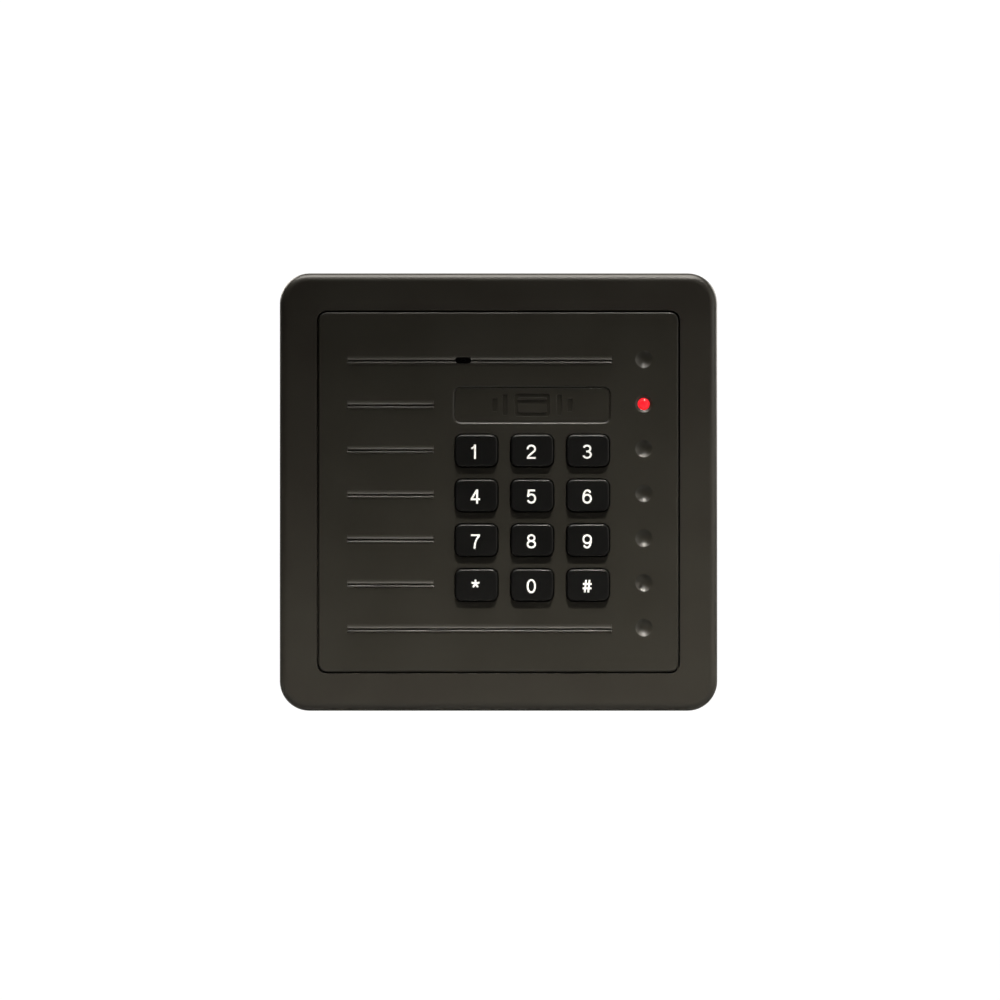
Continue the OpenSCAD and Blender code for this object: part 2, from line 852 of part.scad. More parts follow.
mounting_plate();
lug_insert();
front_frame();
face_panel();
label_plate();
panel_screws();
rear_cover();
cover_screws();
cover_seal();
led_lens();
status_led();
buzzer();
keypad_mat();
keypad_board();
keypad_screws();
main_board();
main_board_screws();
antenna_former();
antenna_coil();
microcontroller();
reader_chip();
regulator();
capacitors();
crystal();
small_parts();
board_link();
terminal_block();
terminal_screws();
terminal_clamps();
tamper_switch();
tamper_plunger();
security_screw();
key_cap(0, 0);  // key_1
key_cap(1, 0);  // key_2
key_cap(2, 0);  // key_3
key_cap(0, 1);  // key_4
key_cap(1, 1);  // key_5
key_cap(2, 1);  // key_6
key_cap(0, 2);  // key_7
key_cap(1, 2);  // key_8
key_cap(2, 2);  // key_9
key_cap(0, 3);  // key_star
key_cap(1, 3);  // key_0
key_cap(2, 3);  // key_hash
key_pill(0, 0);  // pill_1
key_pill(1, 0);  // pill_2
key_pill(2, 0);  // pill_3
key_pill(0, 1);  // pill_4
key_pill(1, 1);  // pill_5
key_pill(2, 1);  // pill_6
key_pill(0, 2);  // pill_7
key_pill(1, 2);  // pill_8
key_pill(2, 2);  // pill_9
key_pill(0, 3);  // pill_star
key_pill(1, 3);  // pill_0
key_pill(2, 3);  // pill_hash
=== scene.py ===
"""Keypad access reader: the visual model, built round its CAD frame.

Each visible moulding is modelled here from a primitive and stands in for its
CAD part; every other CAD part keeps its mesh and gets a finish. A "depth" is a
distance out from the wall, in millimetres, so it lies at y = -depth / 1000.
"""

from __future__ import annotations

import logging
import math
from dataclasses import dataclass, field
from enum import Enum
from typing import Callable, Iterable

import bmesh
import bpy
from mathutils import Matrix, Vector

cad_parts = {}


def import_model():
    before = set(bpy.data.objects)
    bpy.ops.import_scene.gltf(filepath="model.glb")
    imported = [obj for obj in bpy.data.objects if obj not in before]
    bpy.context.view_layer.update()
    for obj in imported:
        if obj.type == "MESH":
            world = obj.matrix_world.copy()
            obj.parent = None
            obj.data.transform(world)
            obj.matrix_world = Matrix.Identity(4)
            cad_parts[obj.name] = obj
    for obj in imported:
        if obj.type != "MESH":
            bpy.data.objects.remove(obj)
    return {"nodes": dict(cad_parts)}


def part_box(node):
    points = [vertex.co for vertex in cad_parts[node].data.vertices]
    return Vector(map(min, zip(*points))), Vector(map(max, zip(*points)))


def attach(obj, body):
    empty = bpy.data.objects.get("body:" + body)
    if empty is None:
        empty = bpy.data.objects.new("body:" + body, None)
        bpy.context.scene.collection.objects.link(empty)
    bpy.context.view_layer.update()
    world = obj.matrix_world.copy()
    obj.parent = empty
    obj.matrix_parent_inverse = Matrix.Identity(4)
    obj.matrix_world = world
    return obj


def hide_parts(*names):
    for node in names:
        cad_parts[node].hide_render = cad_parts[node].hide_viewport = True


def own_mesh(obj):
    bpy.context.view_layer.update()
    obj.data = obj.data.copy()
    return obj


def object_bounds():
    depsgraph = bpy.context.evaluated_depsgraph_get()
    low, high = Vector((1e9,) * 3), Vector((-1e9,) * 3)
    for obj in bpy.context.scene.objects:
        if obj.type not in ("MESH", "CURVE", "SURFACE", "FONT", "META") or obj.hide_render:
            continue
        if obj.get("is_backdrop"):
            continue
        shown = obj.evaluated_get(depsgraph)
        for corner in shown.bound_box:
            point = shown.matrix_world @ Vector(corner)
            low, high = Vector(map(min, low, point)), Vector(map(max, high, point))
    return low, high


log = logging.getLogger("reader")

MM = 0.001
TINY = 1e-6
REST_BODY = "reader"
CORNERS = tuple((sx, sz) for sx in (-1, 1) for sz in (-1, 1))

Piece = bpy.types.Object
Tree = bpy.types.NodeTree
Node = bpy.types.Node
Socket = bpy.types.NodeSocket


# --------------------------------------------------------------- hand tools


def deselect() -> None:
    """Leaves edit mode and selects nothing."""
    if bpy.context.object is not None and bpy.context.object.mode != "OBJECT":
        bpy.ops.object.mode_set(mode="OBJECT")
    bpy.ops.object.select_all(action="DESELECT")


def take(obj: Piece) -> None:
    """Makes one object the only selected and active one."""
    deselect()
    obj.select_set(True)
    bpy.context.view_layer.objects.active = obj


def settle(obj: Piece, name: str) -> Piece:
    """Names a new object and moves its place into its mesh, so that it lies at the origin."""
    take(obj)
    bpy.ops.object.transform_apply(location=True, rotation=True, scale=True)
    obj.name = obj.data.name = name
    return obj


def edit(obj: Piece, kind: str) -> bmesh.types.BMesh:
    """Enters edit mode for edges or faces, with nothing selected."""
    take(obj)
    bpy.ops.object.mode_set(mode="EDIT")
    bpy.ops.mesh.select_mode(type=kind)
    bpy.ops.mesh.select_all(action="DESELECT")
    return bmesh.from_edit_mesh(obj.data)


def pick_edges(obj: Piece, test: Callable[[Vector, Vector], bool]) -> None:
    """Enters edit mode with the edges selected whose two ends, in metres, pass the test."""
    mesh = edit(obj, "EDGE")
    for edge in mesh.edges:
        edge.select_set(test(edge.verts[0].co, edge.verts[1].co))
    bmesh.update_edit_mesh(obj.data)


def pick_faces(obj: Piece, test: Callable[[Vector, Vector], bool]) -> None:
    """Enters edit mode with the faces selected whose centre, in metres, and normal pass the test."""
    mesh = edit(obj, "FACE")
    for face in mesh.faces:
        face.select_set(test(face.calc_center_median(), face.normal))
    bmesh.update_edit_mesh(obj.data)


def done() -> None:
    """Goes back to object mode."""
    bpy.ops.object.mode_set(mode="OBJECT")


def block(name: str, low: Vector, high: Vector) -> Piece:
    """A box between its lowest and highest corner, in metres."""
    deselect()
    bpy.ops.mesh.primitive_cube_add(size=1.0, location=(low + high) / 2)
    cube = bpy.context.object
    cube.scale = high - low
    return settle(cube, name)


def cylinder(
    name: str, radius: float, x: float, z: float, near: float, far: float, sides: int = 48
) -> Piece:
    """A round rod along the depth, at x and z, from near to far; all in millimetres."""
    deselect()
    bpy.ops.mesh.primitive_cylinder_add(
        vertices=sides,
        radius=radius * MM,
        depth=(far - near) * MM,
        location=(x * MM, -(near + far) / 2 * MM, z * MM),
        rotation=(math.radians(90), 0, 0),
    )
    return settle(bpy.context.object, name)


def bar(name: str, radius: float, length: float, x: float, depth: float, z: float, sides: int) -> Piece:
    """A round rod that lies across, with its middle at x, depth and z; all in millimetres."""
    deselect()
    bpy.ops.mesh.primitive_cylinder_add(
        vertices=sides,
        radius=radius * MM,
        depth=length * MM,
        location=Vector((x, -depth, z)) * MM,
        rotation=(0, math.radians(90), 0),
    )
    return settle(bpy.context.object, name)


def use_modifier(obj: Piece, kind: str, **settings: object) -> None:
    """Adds a modifier of one kind to an object, sets it up and applies it."""
    take(obj)
    modifier = obj.modifiers.new(kind.title(), kind)
    for key, value in settings.items():
        setattr(modifier, key, value)
    bpy.ops.object.modifier_apply(modifier=modifier.name)


def merge(tools: Iterable[Piece]) -> Piece:
    """Joins objects that stand apart into the first one, and returns it."""
    tools = list(tools)
    deselect()
    for tool in tools:
        tool.select_set(True)
    bpy.context.view_layer.objects.active = tools[0]
    if len(tools) > 1:
        bpy.ops.object.join()
    return tools[0]


class Join(Enum):
    """How a tool solid is put to a piece."""

    CUT = "DIFFERENCE"
    ADD = "UNION"


def work(obj: Piece, how: Join, *tools: Piece) -> None:
    """Cuts tool solids out of a piece, or adds them; they stand apart and are used up."""
    tool = merge(tools)
    use_modifier(obj, "BOOLEAN", object=tool, operation=how.value, solver="EXACT")
    bpy.data.objects.remove(tool)


def soften(obj: Piece, radius: float, steps: int = 2, angle: float = 35.0) -> None:
    """Breaks the sharp edges of a piece and shades it smooth.

    Args:
        obj: the piece.
        radius: the rounding in millimetres.
        steps: how many faces go round an edge.
        angle: edges sharper than this, in degrees, are rounded.
    """
    use_modifier(
        obj,
        "BEVEL",
        width=radius * MM,
        segments=steps,
        limit_method="ANGLE",
        angle_limit=math.radians(angle),
        use_clamp_overlap=False,
        harden_normals=False,
    )
    smooth(obj)


def smooth(obj: Piece, angle: float = 32.0) -> None:
    """Shades a piece smooth except at edges sharper than an angle in degrees.

    The large flat faces keep their own direction and the small ones round an
    edge turn towards them.
    """
    take(obj)
    bpy.ops.object.shade_smooth_by_angle(angle=math.radians(angle))
    use_modifier(obj, "WEIGHTED_NORMAL", mode="FACE_AREA", weight=50, keep_sharp=True)


@dataclass(frozen=True)
class Outline:
    """A rounded rectangle seen from the front, in millimetres."""

    wide: float
    high: float
    radius: float
    x: float = 0.0
    z: float = 0.0

    def slab(self, name: str, near: float, far: float, steps: int = 8) -> Piece:
        """The outline made solid between two depths.

        Args:
            name: the name of the object.
            near: the depth of its rear face.
            far: the depth of its front face.
            steps: how many faces go round each corner.

        Returns:
            A box with its four long corners rounded.
        """
        low = Vector((self.x - self.wide / 2, -far, self.z - self.high / 2)) * MM
        high = Vector((self.x + self.wide / 2, -near, self.z + self.high / 2)) * MM
        solid = block(name, low, high)
        pick_edges(solid, lambda a, b: abs(a.x - b.x) < TINY and abs(a.z - b.z) < TINY)
        bpy.ops.mesh.bevel(offset=self.radius * MM, segments=steps, affect="EDGES")
        done()
        return solid

    def grown(self, by: float) -> Outline:
        """The same outline, larger by so much on every side."""
        return Outline(
            self.wide + 2 * by, self.high + 2 * by, self.radius + by, self.x, self.z
        )


def roll_front(obj: Piece, depth: float, radius: float, steps: int) -> None:
    """Rolls over the rim of the front face at a depth, by a radius in millimetres."""
    front = -depth * MM
    pick_edges(obj, lambda a, b: abs(a.y - front) < TINY and abs(b.y - front) < TINY)
    bpy.ops.mesh.bevel(offset=radius * MM, segments=steps, affect="EDGES")
    done()


def ball(name: str, radius: float, x: float, depth: float, z: float) -> Piece:
    """A ball of so many millimetres, as a tool for hollows."""
    deselect()
    bpy.ops.mesh.primitive_uv_sphere_add(
        segments=64,
        ring_count=32,
        radius=radius * MM,
        location=(x * MM, -depth * MM, z * MM),
        rotation=(math.radians(90), 0, 0),
    )
    return settle(bpy.context.object, name)


def span(node: str) -> tuple[Vector, Vector]:
    """The lowest and highest corner of a CAD part, in millimetres."""
    low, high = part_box(node)
    return Vector(low) / MM, Vector(high) / MM


# --------------------------------------------------------------- finishes


DRIFT_SIZE = 22.0
MOTTLE_SIZE = 5.0
MIDDLE = (0.3, 0.7)


def linear(code: str) -> tuple[float, float, float, float]:
    """Turns six hex digits of sRGB into linear red, green, blue and an alpha of 1."""
    parts = [int(code[i : i + 2], 16) / 255 for i in (0, 2, 4)]
    light = [c / 12.92 if c <= 0.04045 else ((c + 0.055) / 1.055) ** 2.4 for c in parts]
    return light[0], light[1], light[2], 1.0


def add(
    tree: Tree,
    kind: str,
    inputs: dict[str | int, object] | None = None,
    **settings: object,
) -> Node:
    """Adds one node.

    Args:
        tree: the node tree.
        kind: the node's type.
        inputs: a value, or a socket to link from, for each input by name or number.
        settings: the node's own settings.

    Returns:
        The node.
    """
    made = tree.nodes.new(kind)
    for key, value in settings.items():
        setattr(made, key, value)
    for key, value in (inputs or {}).items():
        if isinstance(value, Socket):
            tree.links.new(value, made.inputs[key])
        else:
            made.inputs[key].default_value = value
    return made


def ramp(
    tree: Tree, factor: Socket, low: str, high: str, ends: tuple[float, float]
) -> Socket:
    """A run between two hex colours as a factor goes from one end to the other."""
    made = add(tree, "ShaderNodeValToRGB", {0: factor})
    for element, place, code in zip(made.color_ramp.elements, ends, (low, high)):
        element.position = place
        element.color = linear(code)
    return made.outputs[0]


def noise(tree: Tree, place: Socket, size: float, detail: float) -> Socket:
    """Clouds of so many millimetres."""
    inputs = {"Vector": place, "Scale": 1 / (size * MM), "Detail": detail}
    return add(tree, "ShaderNodeTexNoise", inputs).outputs[0]


def spread(tree: Tree, factor: Socket, ends: tuple[float, float], least: float, most: float) -> Socket:
    """A factor's run between two ends, spread over the values from least to most."""
    inputs = {0: factor, 1: ends[0], 2: ends[1], 3: least, 4: most}
    return add(tree, "ShaderNodeMapRange", inputs).outputs[0]


def paint(tree: Tree, shader: Node, colour: Socket, rough: Socket | None = None) -> None:
    """Links a colour to a shader, and a roughness where there is one."""
    tree.links.new(colour, shader.inputs["Base Color"])
    if rough is not None:
        tree.links.new(rough, shader.inputs["Roughness"])


def blank(owner: bpy.types.ID) -> Tree:
    """The emptied node tree of a material or world."""
    owner.use_nodes = True
    owner.node_tree.nodes.clear()
    return owner.node_tree


def relieve(tree: Tree, shader: Node, height: Socket, depth: float, strength: float = 1.0) -> None:
    """Gives a shader a relief of so many millimetres."""
    inputs = {"Height": height, "Distance": depth * MM, "Strength": strength}
    tree.links.new(add(tree, "ShaderNodeBump", inputs).outputs[0], shader.inputs["Normal"])


@dataclass(frozen=True)
class Finish:
    """A material by its real name; the rest of each kind is in its class."""

    name: str

    def material(self) -> bpy.types.Material:
        """Makes the material.

        Returns:
            A node material with a Principled shader dressed by this finish.
        """
        made = bpy.data.materials.new(self.name)
        tree = blank(made)
        shader = add(tree, "ShaderNodeBsdfPrincipled")
        add(tree, "ShaderNodeOutputMaterial", {"Surface": shader.outputs[0]})
        place = add(tree, "ShaderNodeTexCoord").outputs["Object"]
        self.dress(tree, shader, place)
        return made

    def dress(self, tree: Tree, shader: Node, place: Socket) -> None:
        """Sets the shader; each finish does this its own way."""
        raise NotImplementedError


def set_inputs(shader: Node, **values: object) -> None:
    """Sets inputs of a shader by name, with _ for a space."""
    for key, value in values.items():
        shader.inputs[key.replace("_", " ")].default_value = value


@dataclass(frozen=True)
class Moulded(Finish):
    """A plastic or rubber moulding: a textured skin and a slow drift of shade."""

    colour: str = "1c1b18"
    drift: str = "232220"
    gloss: float = 0.4
    grain: float = 0.35
    relief: float = 0.006
    ior: float = 1.54
    soft: float = 0.0

    def dress(self, tree: Tree, shader: Node, place: Socket) -> None:
        """Textured skin; grain is the size of its pits in mm and relief their depth."""
        slow = noise(tree, place, DRIFT_SIZE, 2.0)
        fine = noise(tree, place, self.grain, 2.0)
        colour = ramp(tree, slow, self.colour, self.drift, MIDDLE)
        rough = spread(tree, slow, MIDDLE, self.gloss - 0.02, self.gloss + 0.03)
        paint(tree, shader, colour, rough)
        relieve(tree, shader, fine, self.relief)
        set_inputs(shader, IOR=self.ior, Subsurface_Weight=self.soft, Subsurface_Scale=0.5 * MM)


@dataclass(frozen=True)
class Metal(Finish):
    """A plated or turned metal, with streaks of its working and a fine mottle."""

    colour: str = "9a9da1"
    drift: str = "b4b6b8"
    gloss: float = 0.35
    streak: tuple[float, float, float] = (0.4, 0.4, 6.0)
    relief: float = 0.004

    def dress(self, tree: Tree, shader: Node, place: Socket) -> None:
        """Streaks are so many mm long each way; relief is their depth in mm."""
        scale = tuple(1 / (s * MM) for s in self.streak)
        laid = add(tree, "ShaderNodeMapping", {"Vector": place, "Scale": scale})
        inputs = {"Vector": laid.outputs[0], "Scale": 1.0, "Detail": 3.0}
        lines = add(tree, "ShaderNodeTexNoise", inputs).outputs[0]
        cloud = noise(tree, place, MOTTLE_SIZE, 4.0)
        colour = ramp(tree, cloud, self.colour, self.drift, MIDDLE)
        rough = spread(tree, lines, MIDDLE, self.gloss - 0.07, self.gloss + 0.09)
        paint(tree, shader, colour, rough)
        relieve(tree, shader, lines, self.relief, 0.8)
        set_inputs(shader, Metallic=1.0)


@dataclass(frozen=True)
class SolderMask(Finish):
    """Glass-epoxy board under green solder mask, with copper tracks below it."""

    colour: str = "123a22"
    track: str = "1f5c36"
    cell: float = 3.2

    def dress(self, tree: Tree, shader: Node, place: Socket) -> None:
        """Tracks run round cells of so many mm and stand a little proud."""
        inputs = {"Vector": place, "Scale": 1 / (self.cell * MM)}
        cells = add(tree, "ShaderNodeTexVoronoi", inputs, distance="CHEBYCHEV")
        edge = spread(tree, cells.outputs[0], (0.36, 0.42), 0.0, 1.0)
        colour = ramp(tree, edge, self.colour, self.track, (0.0, 1.0))
        paint(tree, shader, colour)
        relieve(tree, shader, edge, 0.03)
        set_inputs(shader, Roughness=0.28, IOR=1.5)


@dataclass(frozen=True)
class Winding(Finish):
    """Enamelled copper wire laid side by side round a rounded square."""

    # dark copper in the valleys between turns, bright copper on the crests: the dark is painted shade
    # between the wires
    colour: str = "6e2f12"
    drift: str = "c9743c"
    pitch: float = 0.35
    corner: float = 7.0

    def dress(self, tree: Tree, shader: Node, place: Socket) -> None:
        """Each turn is one pitch in mm from the next; corner is their inside radius."""
        axes = add(tree, "ShaderNodeSeparateXYZ", {0: place})
        ways = [
            add(tree, "ShaderNodeMath", {0: axes.outputs[i]}, operation="ABSOLUTE") for i in (0, 2)
        ]
        inputs = {0: ways[0].outputs[0], 1: ways[1].outputs[0], 2: self.corner * MM}
        ring = add(tree, "ShaderNodeMath", inputs, operation="SMOOTH_MAX")
        inputs = {0: ring.outputs[0], 1: math.tau / (self.pitch * MM)}
        turns = add(tree, "ShaderNodeMath", inputs, operation="MULTIPLY")
        wire = add(tree, "ShaderNodeMath", {0: turns.outputs[0]}, operation="SINE")
        level = spread(tree, wire.outputs[0], (-1.0, 1.0), 0.0, 1.0)
        # colour follows the wire relief: painted shade in the valleys between turns, plain copper on the
        # crests
        colour = ramp(tree, level, self.colour, self.drift, (0.1, 0.6))
        paint(tree, shader, colour)
        relieve(tree, shader, level, 0.1)
        set_inputs(shader, Metallic=0.6, Roughness=0.3, Coat_Weight=0.5)


@dataclass(frozen=True)
class Lit(Finish):
    """A clear or white plastic that glows: the red guide has a lamp behind it; the white legend's glow is
    painted light.
    """

    colour: str = "d81e28"
    rim: str = "a0101a"
    glow: float = 1.0
    cloud: float = 0.8
    gloss: float = 0.25

    def dress(self, tree: Tree, shader: Node, place: Socket) -> None:
        """The light is a little uneven, in clouds of so many mm."""
        clouds = noise(tree, place, self.cloud, 1.0)
        colour = ramp(tree, clouds, self.rim, self.colour, (0.25, 0.6))
        paint(tree, shader, colour)
        tree.links.new(colour, shader.inputs["Emission Color"])
        set_inputs(shader, Roughness=self.gloss, IOR=1.49, Emission_Strength=self.glow)


# The finish of each material slot. Comments say what the eye sees of it.
FINISHES: dict[str, Finish] = {
    # charcoal ABS from a spark-eroded mould: a soft broad sheen, a faint grain
    "case_plastic": Moulded("ABS case, spark texture", "2b2823", "2e2c26", 0.40, 0.45, 0.004),
    # the same ABS, a shade lighter, so that the parting line shows
    "panel_plastic": Moulded("ABS panel, spark texture", "292721", "2c2a24", 0.40, 0.45, 0.004),
    # black ABS left as moulded: plain and a little shinier
    "cover_plastic": Moulded("ABS cover, as moulded", "141413", "1b1b19", 0.35, 1.2, 0.01),
    # near-black polycarbonate keys: darker than the panel, tight edge light
    "key_plastic": Moulded("Polycarbonate keys, fine matt", "080808", "0b0b0b", 0.38, 0.4, 0.003, 1.41),
    # zinc-plated pressed steel: cool grey, rolled streaks
    "plate_steel": Metal("Zinc plated steel sheet", "8d9296", "a9adb0", 0.38, (0.3, 3.0, 9.0), 0.006),
    # turned brass: warm yellow, fine rings
    "insert_brass": Metal("Turned brass", "b98a3c", "d1a658", 0.3, (3.0, 3.0, 0.12), 0.008),
    # nickel-plated brass clamps: pale yellow grey
    "clamp_brass": Metal("Nickel plated brass clamps", "b7b09c", "cbc5b2", 0.3, (0.5, 0.5, 3.0), 0.004),
    # bright zinc screws: clean, small highlights
    "screw_steel": Metal("Bright zinc screws", "b2b5b8", "c8cacc", 0.28, (0.6, 0.2, 0.6), 0.006),
    # stainless security screw: a little darker and turned
    "lock_steel": Metal("Turned stainless steel", "9d9c99", "b1b0ac", 0.3, (2.0, 2.0, 0.1), 0.008),
    # closed-cell foam rubber: dull black with small pores
    "seal_rubber": Moulded("Foam rubber seal", "17171a", "202024", 0.8, 0.6, 0.06, 1.52),
    # red acrylic light guide, lit from behind
    "lens_red": Lit("Red acrylic light guide", "f0252f", "e01822", 1.05, 1.6, 0.2),
    # milky epoxy of an unlit lamp
    "led_epoxy": Moulded("Milky epoxy lamp", "d6d0c4", "e4dfd5", 0.2, 0.6, 0.002, 1.55, 0.3),
    # black ABS sounder can
    "buzzer_plastic": Moulded("ABS sounder can", "101011", "161617", 0.33, 0.5, 0.005),
    # grey silicone key mat: soft, waxy, slightly see-through
    "silicone": Moulded("Grey silicone mat", "43464b", "50545a", 0.55, 0.5, 0.004, 1.41, 0.2),
    # green solder mask over copper
    "board_laminate": SolderMask("Solder-masked circuit board"),
    # natural nylon: ivory and waxy
    "former_nylon": Moulded("Natural nylon former", "cfc9b6", "dcd7c6", 0.42, 0.8, 0.008, 1.53, 0.25),
    # enamelled copper wire
    "coil_copper": Winding("Enamelled copper winding"),
    # black moulded epoxy of chips: matt, fine pits
    "chip_epoxy": Moulded("Moulded epoxy chip", "151618", "1d1e20", 0.55, 0.25, 0.01, 1.57),
    # drawn aluminium can
    "capacitor_can": Metal("Drawn aluminium can", "a6a9ac", "babdc0", 0.25, (2.0, 0.1, 2.0), 0.004),
    # plated crystal can
    "crystal_can": Metal("Nickel plated can", "b9bbbc", "cdcecf", 0.2, (0.8, 0.8, 0.8), 0.003),
    # fired ceramic: tan, dull
    "ceramic_chip": Moulded("Fired ceramic", "8a7352", "9d8868", 0.6, 0.2, 0.006, 1.7),
    # black glass-filled connector body
    "link_plastic": Moulded("Glass-filled nylon header", "111111", "191918", 0.5, 0.5, 0.01, 1.53),
    # green glass-filled nylon terminals
    "terminal_nylon": Moulded("Glass-filled nylon, green", "1f6a3c", "2a7c49", 0.45, 0.6, 0.012, 1.53, 0.05),
    # white acetal plunger: smooth and waxy
    "plunger_acetal": Moulded("White acetal", "dedace", "e8e5db", 0.32, 0.8, 0.002, 1.48, 0.2),
    # black carbon-filled rubber
    "pill_carbon": Moulded("Carbon-filled rubber", "121214", "19191b", 0.7, 0.2, 0.008, 1.5),
}

# white printed legend ink: no lamp stands behind it, its glow is painted light that brightens the figures
LEGEND = Lit("Translucent white legend", "f4f4f0", "eceae4", 0.5, 2.5, 0.45)


@dataclass
class Workshop:
    """Keeps one material for each slot and puts the pieces into the frame."""

    made: dict[str, bpy.types.Material] = field(default_factory=dict)

    def finish(self, slot: str) -> bpy.types.Material:
        """The material of a slot, made once."""
        if slot not in self.made:
            self.made[slot] = FINISHES[slot].material()
        return self.made[slot]

    def present(
        self,
        piece: Piece,
        slot: str,
        body: str = REST_BODY,
        stands_for: str | None = None,
        material: bpy.types.Material | None = None,
    ) -> Piece:
        """Dresses a new piece and ties it to its body.

        Args:
            piece: the finished piece.
            slot: the material slot of the record it takes its finish from.
            body: the body it moves with.
            stands_for: the CAD part it is shown in place of.
            material: a finish of its own, instead of the slot's.

        Returns:
            The same piece.
        """
        piece.data.materials.clear()
        piece.data.materials.append(material or self.finish(slot))
        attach(piece, body)
        if stands_for is not None:
            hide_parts(stands_for)
        log.info("%s: %d faces, %s", piece.name, len(piece.data.polygons), slot)
        return piece


# --------------------------------------------------------------- the case


@dataclass
class Case:
    """The front frame: a shell with a ledge for the face panel."""

    shop: Workshop
    node: str = "front_frame"
    corner: float = 8.6
    roll: float = 2.6
    border: float = 10.9
    wall: float = 2.5
    step: float = 1.5
    seat: float = 8.6
    ledge_near: float = 20.9
    ledge_far: float = 22.9
    ledge_wide: float = 3.6
    open_corner: float = 3.0
    tab: float = 2.0
    tab_in: float = 7.5
    tab_wide: float = 13.0
    screw: float = 1.2
    boss: float = 3.0
    boss_in: float = 2.5
    boss_bore: float = 1.15
    boss_deep: float = 9.0
    lock_hole: float = 1.83
    lock_head: float = 3.5
    lock_seat: float = 1.6
    lock_depth: float = 6.75

    def build(self) -> None:
        """Models the shell from a block."""
        low, high = span(self.node)
        wide, tall, near, far = high.x - low.x, high.z - low.z, -high.y, -low.y
        outside = Outline(wide, tall, self.corner)
        shell = outside.slab("case_shell", near, far, 12)
        roll_front(shell, far, self.roll, 6)
        rear = outside.grown(-self.wall)
        inside = rear.grown(-self.step)
        opening = Outline(
            wide - 2 * self.border, tall - 2 * self.border, self.open_corner
        )
        window = Outline(
            opening.wide - 2 * self.ledge_wide, opening.high - 2 * self.ledge_wide, 2.0
        )
        gutter = inside.slab("gutter", self.ledge_near - 1, self.ledge_far)
        work(gutter, Join.CUT, opening.grown(2.5).slab("kerb", self.ledge_near - 2, far + 1))
        work(shell, Join.CUT, inside.slab("hollow", near - 1, self.ledge_near))
        work(shell, Join.CUT, gutter)
        work(shell, Join.CUT, rear.slab("seat", near - 1, self.seat))
        work(shell, Join.CUT, opening.slab("opening", self.ledge_far, far + 1))
        work(shell, Join.CUT, window.slab("window", self.ledge_near - 1, far + 1))
        self.add_tabs(shell, opening)
        self.add_bosses(shell, inside)
        self.drill_lock(shell, low.z)
        soften(shell, 0.12)
        self.shop.present(shell, "case_plastic", stands_for=self.node)

    def add_tabs(self, shell: Piece, opening: Outline) -> None:
        """Puts a drilled tab behind each corner of the opening."""
        near, far = self.ledge_near - self.tab, self.ledge_near
        for sx, sz in CORNERS:
            x = sx * (opening.wide / 2 - self.tab_in)
            z = sz * (opening.high / 2 - self.tab_in)
            tab = Outline(self.tab_wide, self.tab_wide, 1.0, x - sx, z - sz)
            work(shell, Join.ADD, tab.slab("tab", near, far + 0.3, 3))
            work(shell, Join.CUT, cylinder("bore", self.screw, x, z, near - 1, far + 1))
            pocket = Outline(self.tab_wide + 1, self.tab_wide + 1, 1.0, x - sx * 1.5, z - sz * 1.5)
            work(shell, Join.CUT, pocket.slab("pocket", far, far + 0.5, 3))

    def add_bosses(self, shell: Piece, inside: Outline) -> None:
        """Puts a drilled boss for a cover screw in each corner."""
        for sx, sz in CORNERS:
            x = sx * (inside.wide / 2 - self.boss_in)
            z = sz * (inside.high / 2 - self.boss_in)
            work(shell, Join.ADD, cylinder("boss", self.boss, x, z, self.seat, self.ledge_far + 0.3))
            bore = cylinder("bore", self.boss_bore, x, z, self.seat - 1, self.seat + self.boss_deep, 24)
            work(shell, Join.CUT, bore)

    def drill_lock(self, shell: Piece, base: float) -> None:
        """Drills the lower wall for the security screw and sinks its head."""
        for radius, deep in ((self.lock_hole, 2 * self.wall), (self.lock_head, self.lock_seat)):
            deselect()
            bpy.ops.mesh.primitive_cylinder_add(
                vertices=48,
                radius=radius * MM,
                depth=2 * deep * MM,
                location=(0, -self.lock_depth * MM, base * MM),
            )
            work(shell, Join.CUT, settle(bpy.context.object, "drill"))


